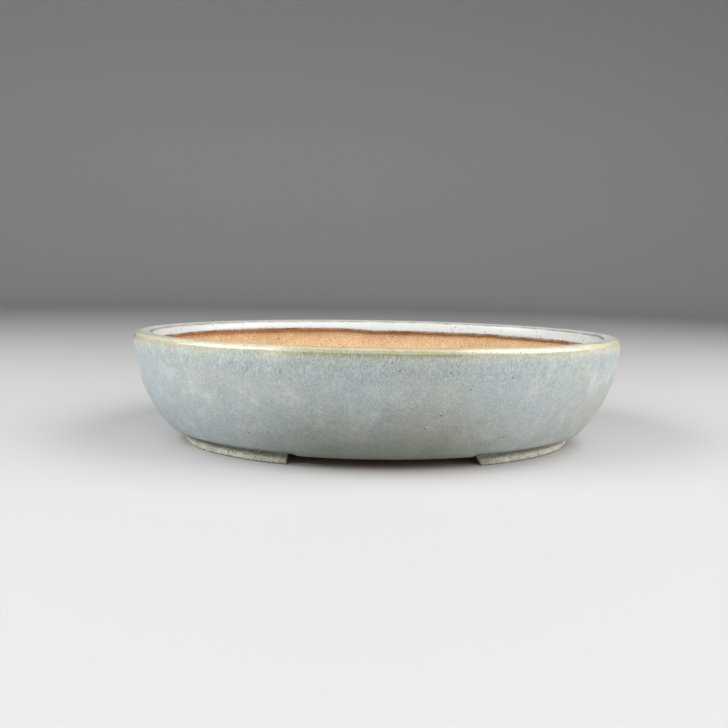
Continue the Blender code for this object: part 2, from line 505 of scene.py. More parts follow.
def add_node(
    tree: Tree, kind: str, inputs: dict | None = None, **options: object
) -> bpy.types.Node:
    """Add a node with its options, values and links.

    Args:
        tree: the material's nodes.
        kind: the node's type.
        inputs: a value or another node's output for each socket.
        options: the node's own settings.

    Returns:
        The new node.
    """
    node = tree.nodes.new(kind)
    for option, value in options.items():
        setattr(node, option, value)
    for socket, value in (inputs or {}).items():
        if isinstance(value, Socket):
            tree.links.new(value, node.inputs[socket])
        else:
            node.inputs[socket].default_value = value
    return node


def new_material(name: str) -> tuple[Material, Tree]:
    """Start a material with an empty tree of nodes."""
    material = bpy.data.materials.new(name)
    material.use_nodes = True
    material.node_tree.nodes.clear()
    return material, material.node_tree


def joint_share(tree: Tree, masks: tuple[Socket | float, ...]) -> Socket | float:
    """Multiply masks.

    Args:
        tree: the material's nodes.
        masks: outputs or plain numbers.

    Returns:
        Their product.
    """
    share = masks[0]
    for mask in masks[1:]:
        both = add_node(tree, "ShaderNodeMath", {0: share, 1: mask}, operation="MULTIPLY")
        share = both.outputs["Value"]
    return share


def lay_over(
    tree: Tree,
    colour: str | Socket,
    shade: str | Socket,
    masks: tuple[Socket | float, ...],
    blend: str = "MIX",
) -> Socket:
    """Lay a colour over what is there, as far as all its masks allow.

    Args:
        tree: the material's nodes.
        colour: what is there, as sRGB hex or another node's output.
        shade: what is laid over it, given in the same way.
        masks: shares that are multiplied.
        blend: how the two are mixed.

    Returns:
        The new colour.
    """
    first, second = (linear(c) if isinstance(c, str) else c for c in (colour, shade))
    laid = add_node(
        tree,
        "ShaderNodeMix",
        {"Factor": joint_share(tree, masks), MIX_FIRST: first, MIX_SECOND: second},
        data_type="RGBA",
        blend_type=blend,
    )
    return laid.outputs[MIX_RESULT]


@dataclass(frozen=True)
class Flecks:
    """Marks strewn over a surface, at most one to a cell.

    A mark with a rise above 0 stands up, and one with a rise below 0 is a pit.
    """

    shade: str
    spacing: float
    size: float
    share: float
    most: float
    stretch: Triple = (1.0, 1.0, 1.0)
    lean: float = 0.0
    rise: float = -0.3

    def mask(self, tree: Tree, space: Socket) -> Socket:
        """Where the marks lie.

        Args:
            tree: the material's nodes.
            space: the surface's coordinates, in metres.

        Returns:
            An output that is 0 between the marks and rises to most on them.
        """
        laid = add_node(
            tree,
            "ShaderNodeMapping",
            {"Vector": space, "Rotation": (0.0, self.lean, 0.0), "Scale": self.stretch},
        ).outputs["Vector"]
        cells = add_node(
            tree, "ShaderNodeTexVoronoi", {"Vector": laid, "Scale": 1 / self.spacing}
        ).outputs
        draw = add_node(tree, "ShaderNodeSeparateColor", {"Color": cells["Color"]}).outputs
        # Each cell draws its mark's size, and one that draws a size of 0 stays bare.
        radius = self.size / 2 / self.spacing
        reach = add_node(
            tree,
            "ShaderNodeMapRange",
            {"Value": draw["Red"], "From Min": 1 - self.share, "To Max": 1.5 * radius},
        ).outputs["Result"]
        inside = add_node(
            tree, "ShaderNodeMath", {0: reach, 1: cells["Distance"]}, operation="SUBTRACT"
        ).outputs["Value"]
        return add_node(
            tree,
            "ShaderNodeMapRange",
            {"Value": inside, "From Max": 0.5 * radius, "To Max": self.most},
        ).outputs["Result"]


def strew(
    tree: Tree, space: Socket, colour: Socket, height: Socket, marks: tuple[Flecks, ...]
) -> tuple[Socket, Socket]:
    """Strew marks over a surface, which colour it and stand up or leave pits.

    Args:
        tree: the material's nodes.
        space: the surface's coordinates, in metres.
        colour: what is there.
        height: the surface's relief.
        marks: the kinds of mark, in order.

    Returns:
        The new colour and relief.
    """
    for mark in marks:
        mask = mark.mask(tree, space)
        colour = lay_over(tree, colour, mark.shade, (mask,))
        height = add_node(
            tree, "ShaderNodeMath", {0: mask, 1: mark.rise, 2: height}, operation="MULTIPLY_ADD"
        ).outputs["Value"]
    return colour, height


def close_surface(
    tree: Tree, colour: Socket, height: Socket, relief: Pair, sheen: dict[str, object]
) -> None:
    """Join colour, relief and shine into the fired surface.

    Args:
        tree: the material's nodes.
        colour: the surface's colour.
        height: its relief.
        relief: how strongly the relief shows, and how high it is.
        sheen: roughness, and what else sets how it shines.
    """
    strength, distance = relief
    bump = add_node(
        tree, "ShaderNodeBump", {"Height": height, "Strength": strength, "Distance": distance}
    )
    shader = add_node(
        tree,
        "ShaderNodeBsdfPrincipled",
        {"Base Color": colour, "Normal": bump.outputs["Normal"], "IOR": FIRED_IOR, **sheen},
    )
    add_node(tree, "ShaderNodeOutputMaterial", {"Surface": shader.outputs["BSDF"]})


@dataclass(frozen=True)
class Zone:
    """Stretch of the glaze that fires to its own colour, from a place on the run upwards.

    It may be stronger on the stretch of the rim that fired olive than elsewhere, and a
    patchy zone comes and goes with the drifts of the glaze.
    """

    shade: str
    fades_at: float
    full_at: float
    middle: float
    ends: float
    ragged: float
    patchy: float = 0.0

    def masks(
        self, tree: Tree, run: Socket, hair: Socket, olive: Socket, patches: Socket
    ) -> tuple[Socket, ...]:
        """Shares that place the zone.

        Args:
            tree: the material's nodes.
            run: place on the run down the glaze.
            hair: pattern that frays the zone's edge.
            olive: share of the stretch that fired olive.
            patches: drifts that a patchy zone follows.

        Returns:
            Its shares down the run, along the side and in the drifts.
        """
        frayed = add_node(
            tree, "ShaderNodeMath", {0: hair, 1: 2 * self.ragged, 2: run}, operation="MULTIPLY_ADD"
        ).outputs["Value"]
        start, full = self.fades_at + self.ragged, self.full_at + self.ragged
        return tuple(
            add_node(
                tree,
                "ShaderNodeMapRange",
                {
                    "Value": value,
                    "From Min": low,
                    "From Max": high,
                    "To Min": least,
                    "To Max": most,
                },
                interpolation_type=ease,
            ).outputs["Result"]
            for value, low, high, least, most, ease in (
                (frayed, start, full, 0.0, 1.0, "SMOOTHSTEP"),
                (olive, 0.0, 1.0, self.ends, self.middle, "LINEAR"),
                (patches, 0.0, 1.0, 1 - self.patchy, 1.0, "LINEAR"),
            )
        )


@dataclass(frozen=True)
class SatinGlaze:
    """Satin grey-green stoneware glaze, dipped and fired in reduction.

    It is cloudy where thick, with a fine mottle, a bluer band below the rim and hairs of
    crystal that run down from it. Over the rim it is fluid and glossy, and thins to straw
    and khaki above an olive line. The top of the lip is paler and bluer, partly its own
    colour and partly a painted reflection. It is milky on the lip's inner face, with fine
    pinholes, and its dark brown lower edge there is partly burnt glaze and partly painted
    shade under the lip. Painted shade darkens it towards the bottom, at the middle of the
    long sides and low between the feet, and above the feet it is darker still, partly where
    it pools and partly painted shade. Iron in the clay bleeds through as dark specks and
    rusty stains, and use has left pale nicks, scuffs and scratches. Hairs and mottle are
    drawn as coarse as they need to show.
    """

    cool: str = "#A5B0B3"
    warm: str = "#AAB0AB"
    pale: str = "#CBD1CE"
    # deep is painted shade, laid darker towards the bottom and across the middle of the long sides.
    deep: str = "#6F756B"
    painted_low_shade: str = "#63664F"
    pool_and_shade: str = "#4E503A"
    zones: tuple[Zone, ...] = (
        Zone("#8C9184", 24.0 * MM, 9.0 * MM, 0.3, 0.0, 4.0 * MM, 0.3),
        Zone("#8E9CA8", 19.0 * MM, 14.0 * MM, 0.4, 0.15, 3.0 * MM, 0.7),
        Zone("#A9AE97", 12.0 * MM, 6.0 * MM, 0.35, 0.1, 2.6 * MM, 0.3),
        Zone("#BBC0AF", 9.5 * MM, 6.0 * MM, 0.0, 0.65, 2.6 * MM, 0.3),
        Zone("#8B8761", 6.6 * MM, 4.2 * MM, 0.9, 0.15, 1.0 * MM, 0.3),
        Zone("#CBC5AA", 7.0 * MM, 4.3 * MM, 0.0, 0.75, 1.5 * MM, 0.3),
        Zone("#CFC9AD", 3.1 * MM, 2.0 * MM, 0.9, 0.9, 0.7 * MM),
        Zone("#948C66", 3.1 * MM, 2.0 * MM, 0.6, 0.0, 0.7 * MM, 0.3),
        # Paler, bluer top of the lip: partly the glaze's own colour, partly a painted reflection.
        Zone("#DAE2E4", 0.4 * MM, -1.6 * MM, 0.25, 0.92, 0.8 * MM),
        Zone("#77704F", -4.9 * MM, -5.8 * MM, 0.8, 0.8, 0.8 * MM, 0.3),
        Zone("#CAD2D7", -6.6 * MM, -7.6 * MM, 1.0, 1.0, 0.5 * MM),
        # Dark brown at the glaze's lower edge on the lip: partly burnt glaze, partly painted shade
        # under the lip.
        Zone("#6B4530", -10.9 * MM, -11.3 * MM, 0.9, 0.9, 0.9 * MM, 0.3),
    )
    stains: Flecks = Flecks("#7F6B42", 9.0 * MM, 4.0 * MM, 0.5, 0.5, (0.5, 0.5, 1.0))
    scuffs: Flecks = Flecks("#DADFDA", 3.6 * MM, 0.9 * MM, 0.5, 0.5, (0.45, 0.45, 1.0), 0.2)
    pinholes: Flecks = Flecks("#5C5852", 1.9 * MM, 0.85 * MM, 0.75, 0.65)
    marks: tuple[Flecks, ...] = (
        Flecks("#3A362C", 3.2 * MM, 0.75 * MM, 0.45, 0.7),
        Flecks("#54503F", 1.7 * MM, 0.45 * MM, 0.5, 0.5),
        Flecks("#D9DDD6", 4.2 * MM, 0.6 * MM, 0.4, 0.6),
        Flecks("#D4D8D0", 4.5 * MM, 0.4 * MM, 0.3, 0.6, (1.0, 1.0, 0.16), 0.6),
    )
    cloud_size: float = 34.0 * MM
    drift_size: float = 11.0 * MM
    mottle_size: float = 0.9 * MM
    hair_width: float = 0.6 * MM
    hair_stretch: Triple = (1.0, 1.0, 0.3)
    ripple_size: float = 4.0 * MM
    mottle_swing: float = 0.17
    hair_swing: float = 0.2
    ripple_swing: float = 0.07
    drift_swing: float = 0.07
    mid_painted_shade: float = 0.17
    body_roughness: Pair = (0.30, 0.50)
    rim_roughness: float = 0.28
    rim_gloss: float = 0.65
    rim_gloss_roughness: float = 0.13
    relief: Pair = (0.6, 0.12 * MM)

    def patterns(self, tree: Tree, space: Socket) -> dict[str, Socket]:
        """Noise that the fire left in the glaze.

        Args:
            tree: the material's nodes.
            space: the surface's coordinates, in metres.

        Returns:
            Each pattern's output by its name.
        """
        stretched = {"Vector": space, "Scale": self.hair_stretch}
        hairs = add_node(tree, "ShaderNodeMapping", stretched).outputs["Vector"]
        return {
            name: add_node(
                tree,
                "ShaderNodeTexNoise",
                {"Vector": place, "Scale": 1 / size, "Detail": detail, "Roughness": 0.6},
            ).outputs["Fac"]
            for name, place, size, detail in (
                ("cloud", space, self.cloud_size, 2.0),
                ("drift", space, self.drift_size, 3.0),
                ("mottle", space, self.mottle_size, 2.0),
                ("hair", hairs, self.hair_width, 2.0),
                ("ripple", space, self.ripple_size, 4.0),
            )
        }

    def shares(
        self, tree: Tree, patterns: dict[str, Socket], run: Socket
    ) -> dict[str, Socket]:
        """Where the glaze's drifts lie, and its stretches down the run.

        Args:
            tree: the material's nodes.
            patterns: noise patterns by their names.
            run: place on the run down the glaze.

        Returns:
            Each share's output by its name.
        """
        return {
            name: add_node(
                tree,
                "ShaderNodeMapRange",
                {"Value": value, "From Min": low, "From Max": high, "To Max": most},
                interpolation_type="SMOOTHSTEP",
            ).outputs["Result"]
            for name, value, low, high, most in (
                ("clouds", patterns["cloud"], 0.36, 0.64, 1.0),
                ("drifts", patterns["drift"], 0.50, 0.70, 0.16),
                ("patches", patterns["drift"], 0.40, 0.60, 1.0),
                ("below rim", run, 3.0 * MM, 5.0 * MM, 1.0),
                ("above belly", run, 21.0 * MM, 10.0 * MM, 1.0),
                ("low wall", run, 36.0 * MM, 60.0 * MM, 0.14),
                ("mid side", run, 16.0 * MM, 60.0 * MM, 0.7),
                ("above foot", run, 56.0 * MM, 60.5 * MM, 0.95),
                ("on rim", run, 8.0 * MM, 4.0 * MM, 1.0),
                ("outside lip", run, -7.0 * MM, -5.5 * MM, 1.0),
                ("inside lip", run, -5.5 * MM, -7.0 * MM, 1.0),
            )
        }

    def material(self) -> Material:
        """Build the finish.

        Returns:
            The material, which reads the traits of its mesh.
        """
        material, tree = new_material("satin_glaze")
        space = add_node(tree, "ShaderNodeTexCoord").outputs["Object"]
        run, near, middle, olive = (
            add_node(tree, "ShaderNodeAttribute", attribute_name=trait.value).outputs["Fac"]
            for trait in (Trait.RUN, Trait.NEAR_FOOT, Trait.MID_SIDE, Trait.OLIVE_SIDE)
        )
        patterns = self.patterns(tree, space)
        shares = self.shares(tree, patterns, run)
        colour = lay_over(tree, self.cool, self.warm, (shares["clouds"],))
        # Besides the glaze's pale drifts, these layers are painted shade: darker towards the
        # bottom, across the middle of the long sides, and more so low down there, between the feet.
        for shade, masks in (
            (self.pale, (shares["drifts"],)),
            (self.deep, (shares["low wall"],)),
            (self.deep, (self.mid_painted_shade, middle)),
            (self.painted_low_shade, (shares["mid side"], middle)),
        ):
            colour = lay_over(tree, colour, shade, masks)
        for zone in self.zones:
            masks = zone.masks(tree, run, patterns["hair"], olive, shares["patches"])
            colour = lay_over(tree, colour, zone.shade, masks)
        # Above the feet the glaze is darker, partly where it pools and partly painted shade.
        colour = lay_over(tree, colour, self.pool_and_shade, (shares["above foot"], near))

        under_rim = (shares["below rim"], shares["above belly"])
        outside = (shares["outside lip"],)
        for pattern, swing, masks in (
            ("drift", self.drift_swing, outside),
            ("ripple", self.ripple_swing, outside),
            ("mottle", self.mottle_swing, outside),
            ("hair", self.hair_swing, under_rim),
        ):
            tone = add_node(
                tree,
                "ShaderNodeMapRange",
                {
                    "Value": patterns[pattern],
                    "From Min": NOISE_LOW,
                    "From Max": NOISE_HIGH,
                    "To Min": 1 - swing,
                    "To Max": 1 + swing,
                },
            )
            colour = lay_over(tree, colour, tone.outputs["Result"], masks, "MULTIPLY")
        for mark, masks in (
            (self.stains, (shares["on rim"], *outside)),
            (self.scuffs, under_rim),
            (self.pinholes, (shares["inside lip"],)),
        ):
            colour = lay_over(tree, colour, mark.shade, (mark.mask(tree, space), *masks))
        colour, height = strew(tree, space, colour, patterns["ripple"], self.marks)

        smooth, dull = self.body_roughness
        satin = add_node(
            tree,
            "ShaderNodeMapRange",
            {"Value": patterns["mottle"], "To Min": smooth, "To Max": dull},
        )
        roughness = add_node(
            tree,
            "ShaderNodeMix",
            {"Factor": shares["on rim"], "A": satin.outputs["Result"], "B": self.rim_roughness},
        )
        fluid = joint_share(tree, (shares["on rim"], *outside, self.rim_gloss))
        sheen = {
            "Roughness": roughness.outputs["Result"],
            "Coat Weight": fluid,
            "Coat Roughness": self.rim_gloss_roughness,
            "Coat IOR": FIRED_IOR,
        }
        close_surface(tree, colour, height, self.relief, sheen)
        return material


@dataclass(frozen=True)
class Grains:
    """Grit of one colour, from where it starts in its pattern to where it is full."""

    shade: str
    start: float
    full: float
    most: float


@dataclass(frozen=True)
class GrittyGround:
    """Clay, or thin glaze over it, in two tones that drift, with grit all over.

    The grit is drawn as coarse as it needs to show.
    """

    tones: tuple[str, str]
    patch_size: float
    patch_span: Pair
    grit_size: float
    grains: tuple[Grains, ...]
    marks: tuple[Flecks, ...]
    relief: Pair

    def lay(self, tree: Tree, space: Socket) -> tuple[Socket, Socket, Socket]:
        """Lay the two tones.

        Args:
            tree: the material's nodes.
            space: the surface's coordinates, in metres.

        Returns:
            The colour, and the patterns of its patches and of the grit.
        """
        patch, grit = (
            add_node(
                tree,
                "ShaderNodeTexNoise",
                {"Vector": space, "Scale": 1 / size, "Detail": detail, "Roughness": roughness},
            ).outputs["Fac"]
            for size, detail, roughness in (
                (self.patch_size, 4.0, 0.5),
                (self.grit_size, 3.0, 0.7),
            )
        )
        start, full = self.patch_span
        patches = add_node(
            tree, "ShaderNodeMapRange", {"Value": patch, "From Min": start, "From Max": full}
        )
        return lay_over(tree, *self.tones, (patches.outputs["Result"],)), patch, grit

    def close(
        self, tree: Tree, space: Socket, colour: Socket, grit: Socket, sheen: dict[str, object]
    ) -> None:
        """Show the grit, strew the marks and close the surface.

        Args:
            tree: the material's nodes.
            space: the surface's coordinates, in metres.
            colour: what is there.
            grit: the grit's pattern.
            sheen: roughness, and what else sets how it shines.
        """
        for grain in self.grains:
            span = {"From Min": grain.start, "From Max": grain.full, "To Max": grain.most}
            share = add_node(tree, "ShaderNodeMapRange", {"Value": grit, **span})
            colour = lay_over(tree, colour, grain.shade, (share.outputs["Result"],))
        colour, height = strew(tree, space, colour, grit, self.marks)
        close_surface(tree, colour, height, self.relief, sheen)


@dataclass(frozen=True)
class GroggedClay:
    """Bare fired stoneware with grog, smoothed by hand.

    Crushed fired clay in the body stands up as pale gritty grains, and lost grains
    leave dark pores. A painted shadow darkens it in a strip under the lip, which
    reaches lower towards the left. Nothing on it shines.
    """

    ground: GrittyGround = GrittyGround(
        tones=("#CEB28F", "#C4A47F"),
        patch_size=22.0 * MM,
        patch_span=(0.35, 0.65),
        grit_size=1.1 * MM,
        grains=(Grains("#ECD8B8", 0.52, 0.74, 0.7), Grains("#AA7E57", 0.48, 0.28, 0.6)),
        marks=(
            Flecks("#FFF0D8", 1.1 * MM, 0.6 * MM, 0.6, 0.65, rise=0.6),
            Flecks("#845233", 1.5 * MM, 0.8 * MM, 0.5, 0.6),
            Flecks("#4A2E1F", 3.0 * MM, 0.9 * MM, 0.5, 0.85, rise=-0.9),
        ),
        relief=(0.8, 0.3 * MM),
    )
    painted_shadow_colour: str = "#BC8963"
    painted_shadow_height: float = 52.2 * MM
    painted_shadow_swing: float = 5.0 * MM
    painted_shadow_edge: float = 0.3 * MM
    painted_shadow_tilt: float = 0.014
    painted_shadow_strength: float = 0.7
    roughness: float = 0.92
    specular: float = 0.25

    def material(self) -> Material:
        """Build the finish.

        Returns:
            The material.
        """
        material, tree = new_material("grogged_clay")
        space = add_node(tree, "ShaderNodeTexCoord").outputs["Object"]
        colour, patch, grit = self.ground.lay(tree, space)
        places = add_node(tree, "ShaderNodeSeparateXYZ", {"Vector": space}).outputs
        # Painted shadow under the lip: a darker strip that reaches lower towards the left.
        level = places["Z"]
        for pattern, swing in ((places["X"], -self.painted_shadow_tilt), (patch, self.painted_shadow_swing)):
            level = add_node(
                tree, "ShaderNodeMath", {0: pattern, 1: swing, 2: level}, operation="MULTIPLY_ADD"
            ).outputs["Value"]
        middle = self.painted_shadow_height + self.painted_shadow_swing / 2
        painted_shadow_share = add_node(
            tree,
            "ShaderNodeMapRange",
            {
                "Value": level,
                "From Min": middle - self.painted_shadow_edge,
                "From Max": middle + self.painted_shadow_edge,
                "To Max": self.painted_shadow_strength,
            },
        )
        colour = lay_over(tree, colour, self.painted_shadow_colour, (painted_shadow_share.outputs["Result"],))
        sheen = {"Roughness": self.roughness, "Specular IOR Level": self.specular}
        self.ground.close(tree, space, colour, grit, sheen)
        return material


@dataclass(frozen=True)
class ThinGlaze:
    """Thin cream glaze over the coarse clay of the feet.

    So little glaze holds here that grit and pinholes show through, and brown clay
    grins through at the wiped edge. The cove is darker, partly where glaze pools and partly
    painted shade, and the feet turn darker olive towards their inner ends.
    """

    ground: GrittyGround = GrittyGround(
        tones=("#DADACA", "#BBBCAB"),
        patch_size=6.0 * MM,
        patch_span=(0.4, 0.62),
        grit_size=0.8 * MM,
        grains=(Grains("#EFEEDD", 0.52, 0.7, 0.55), Grains("#7D7864", 0.48, 0.3, 0.6)),
        marks=(
            Flecks("#F4F1E0", 1.2 * MM, 1.1 * MM, 0.6, 0.85, rise=0.4),
            Flecks("#4B3A2A", 1.2 * MM, 1.0 * MM, 0.5, 0.85, rise=-0.8),
        ),
        relief=(0.8, 0.2 * MM),
    )
    cove: str = "#575A48"
    brown: str = "#5F4430"
    inner_end_olive: str = "#77735A"
    cove_span: Pair = (3.2 * MM, 4.4 * MM)
    wiped_height: float = 0.7 * MM
    inner_end_span: Pair = (57.0 * MM, 44.0 * MM)
    roughness: float = 0.5

    def material(self) -> Material:
        """Build the finish.

        Returns:
            The material.
        """
        material, tree = new_material("thin_foot_glaze")
        space = add_node(tree, "ShaderNodeTexCoord").outputs["Object"]
        colour, _, grit = self.ground.lay(tree, space)
        places = add_node(tree, "ShaderNodeSeparateXYZ", {"Vector": space}).outputs
        level = places["Z"]
        along = add_node(tree, "ShaderNodeMath", {0: places["X"]}, operation="ABSOLUTE")
        ragged = add_node(
            tree,
            "ShaderNodeMath",
            {0: grit, 1: 2 * self.wiped_height, 2: level},
            operation="MULTIPLY_ADD",
        )
        wiped_span = (2.2 * self.wiped_height, 1.5 * self.wiped_height)
        # Brown clay at the wiped edge; the cove darkened partly as pooled glaze and partly as
        # painted shade; darker olive towards the inner ends.
        for shade, value, (start, full), most in (
            (self.brown, ragged.outputs["Value"], wiped_span, 0.85),
            (self.cove, level, self.cove_span, 0.85),
            (self.inner_end_olive, along.outputs["Value"], self.inner_end_span, 0.7),
        ):
            mask = add_node(
                tree,
                "ShaderNodeMapRange",
                {"Value": value, "From Min": start, "From Max": full, "To Max": most},
                interpolation_type="SMOOTHSTEP",
            )
            colour = lay_over(tree, colour, shade, (mask.outputs["Result"],))
        self.ground.close(tree, space, colour, grit, {"Roughness": self.roughness})
        return material


@dataclass(frozen=True)
class Dent:
    """Soft hollow that a finger left in the damp wall."""

    place: Triple
    radius: float
    depth: float

    def depth_at(self, points: np.ndarray) -> np.ndarray:
        """How deep the wall is pressed in at each point."""
        away = np.linalg.norm(points - np.array(self.place), axis=-1) / self.radius
        return self.depth * np.exp(-(away**2))


@dataclass
class HandWork:
    """What making by hand does to every surface of the pot, so that layers move as one."""

    form: PotForm
    gap_front: float = 44.6 * MM
    gap_end: float = 16.0 * MM
    gap_ease: float = 3.0 * MM
    end_sag: float = 0.3 * MM
    swell: float = 0.35 * MM
    swell_size: float = 48.0 * MM
    groove: float = 0.9 * MM
    tuck: float = 0.7 * MM
    tuck_height: float = 3.4 * MM
    lip_sag: float = 1.6 * MM
    lip_sag_span: Pair = (-38.0 * MM, 12.0 * MM)
    lip_sag_start: float = 1.7 * MM
    lip_sag_margin: float = 1.2 * MM
    dents: tuple[Dent, ...] = (
        Dent((105.6 * MM, -60.9 * MM, 46.0 * MM), 5.0 * MM, 1.0 * MM),
        Dent((114.5 * MM, -52.9 * MM, 52.0 * MM), 4.5 * MM, 0.8 * MM),
        Dent((-108.0 * MM, 52.0 * MM, 47.0 * MM), 11.0 * MM, 0.5 * MM),
        Dent((62.0 * MM, 84.0 * MM, 40.0 * MM), 12.0 * MM, 0.5 * MM),
    )
    noise: HandNoise = field(default_factory=lambda: HandNoise(seed=11))

    def near_foot(self, points: np.ndarray) -> np.ndarray:
        """How far each point is over a foot.

        Args:
            points: x, y and z last.

        Returns:
            1 over a foot and 0 over the gaps between the feet.
        """
        along, across = (
            smooth_step(np.abs(points[..., axis]), gap - self.gap_ease, gap)
            for axis, gap in enumerate((self.gap_front, self.gap_end))
        )
        return along * across

    def hang_lip(self, points: np.ndarray, insets: np.ndarray) -> None:
        """Let the lip's inner edge hang lower towards the right, as the photo shows.

        Args:
            points: x, y and z last, which are moved.
            insets: insets of the same points from the rim.
        """
        form = self.form
        edge = form.height - form.lip_drop
        side = smooth_step(points[..., 0], *self.lip_sag_span)
        low = smooth_step(points[..., 2], form.height - self.lip_sag_start, edge)
        inner = smooth_step(insets, form.wall_thickness + self.lip_sag_margin, form.lip_width)
        on_lip = points[..., 2] > edge - 2 * form.lip_undercut
        points[..., 2] -= self.lip_sag * side * low * inner * on_lip

    def shape(self, points: np.ndarray, outward: np.ndarray) -> np.ndarray:
        """Move points as the hand-built pot departs from a true oval.

        Args:
            points: x, y and z last.
            outward: unit vectors out of the whole wall, and not out of a thin layer.

        Returns:
            The moved points, never outside the true form.
        """
        form = self.form
        high = smooth_step(points[..., 2], form.underside, form.height)
        sag = -self.end_sag * (points[..., 0] / form.oval.half_length) ** 2 * high
        inwards = (self.noise.at(points, self.swell_size) - 1.0) / 2 * self.swell * high
        for dent in self.dents:
            inwards -= dent.depth_at(points)
        low = smooth_step(points[..., 2], form.underside + self.tuck_height, form.underside)
        over_foot = self.near_foot(points) * low
        moved = points + outward * (inwards - self.tuck * over_foot)[..., None]
        moved[..., 2] += sag + self.groove * over_foot
        return moved


@dataclass
class GlazedBody:
    """The glaze over the wall and the lip.

    The middle that is darkened with painted shade and the olive side hold a centre along X,
    and how far from it they have faded and are full. The faint stretches hold where along X
    they have faded and are full.
    """

    form: PotForm
    work: HandWork
    finish: Material
    columns: int = 720
    face_fineness: float = 0.95
    back_fineness: float = 0.25
    orange_peel: float = 0.05 * MM
    orange_peel_size: float = 6.0 * MM
    edge_wave: float = 0.25 * MM
    edge_wave_size: float = 9.0 * MM
    edge_wave_height: float = 2.5 * MM
    mid_side: Triple = (-6.0 * MM, 80.0 * MM, 18.0 * MM)
    olive_side: Triple = (-5.0 * MM, 62.0 * MM, 25.0 * MM)
    faint_left: Pair = (-30.0 * MM, -60.0 * MM)
    faint_right: Pair = (10.0 * MM, 50.0 * MM)
    faint_right_end: Pair = (98.0 * MM, 76.0 * MM)
    faint_share: float = 0.45
    front_fade: float = 30.0 * MM
    noise: HandNoise = field(default_factory=lambda: HandNoise(seed=23))

    def section(self) -> tuple[np.ndarray, np.ndarray, np.ndarray]:
        """The glaze layer's closed section.

        Returns:
            Rows of inset and height, the run of each row from the shoulder, and 1 for
            the rows of the outer face.
        """
        form = self.form
        outer, shoulder = form.glaze_face(0.0, self.face_fineness)
        inner, _ = form.glaze_face(form.glaze_thickness, self.back_fineness)
        along = running_length(outer)
        run = along - along[shoulder]
        foot_end = bead(outer[-1], inner[-1], outer[-1] - outer[-2])
        lip_end = bead(inner[0], outer[0], outer[0] - outer[1])
        rows = np.concatenate([outer, foot_end, inner[::-1], lip_end])
        inner_run = np.interp(np.linspace(0, 1, len(inner)), np.linspace(0, 1, len(run)), run)
        runs = np.concatenate(
            [run, np.full(len(foot_end), run[-1]), inner_run[::-1], np.full(len(lip_end), run[0])]
        )
        shows = np.zeros(len(rows))
        shows[: len(outer)] = 1.0
        return rows, runs, shows

    def sides(self, points: np.ndarray) -> dict[Trait, np.ndarray]:
        """Where painted shade darkens the middle, and where the glaze fired olive along the front.

        Args:
            points: x, y and z last.

        Returns:
            Shares for each point, by their trait.
        """
        x, y = points[..., 0], points[..., 1]
        middle, olive = (
            smooth_step(np.abs(x - centre), fades, full)
            for centre, fades, full in (self.mid_side, self.olive_side)
        )
        right = smooth_step(x, *self.faint_right) * smooth_step(x, *self.faint_right_end)
        left = smooth_step(x, *self.faint_left)
        olive = np.maximum(olive, self.faint_share * np.maximum(right, left))
        olive *= smooth_step(y, self.front_fade, -self.front_fade)
        return {Trait.MID_SIDE: middle, Trait.OLIVE_SIDE: olive}

    def build(self) -> None:
        """Make the glaze layer and dress it."""
        rows, runs, shows = self.section()
        points, outward = self.form.oval.sweep(rows, self.columns)
        normals = grid_normals(points, True)
        if np.sum(normals[len(rows) // 3] * outward) < 0:
            normals = -normals
        traits = {
            Trait.RUN: np.repeat(runs[:, None], self.columns, axis=1),
            Trait.NEAR_FOOT: self.work.near_foot(points),
            **self.sides(points),
        }
        peel = (self.noise.at(points, self.orange_peel_size) - 1.0) / 2 * self.orange_peel
        self.work.hang_lip(points, rows[:, :1])
        points = self.work.shape(points, outward)
        points += normals * (peel * shows[:, None])[..., None]
        # The lip's lower edge waves round the pot, with finer waves a third as high on it.
        flat = points * (1.0, 1.0, 0.0)
        wave = self.noise.at(flat, self.edge_wave_size) * self.edge_wave
        wave += self.noise.at(flat + 0.5, self.edge_wave_size / 5) * self.edge_wave / 3
        at_lip_end = smooth_step(runs, runs.min() + self.edge_wave_height, runs.min())
        points[..., 2] += wave * at_lip_end[:, None]
        piece = grid_piece("glaze_skin", points, True, traits)
        settle(piece, "glaze_coat", self.finish)


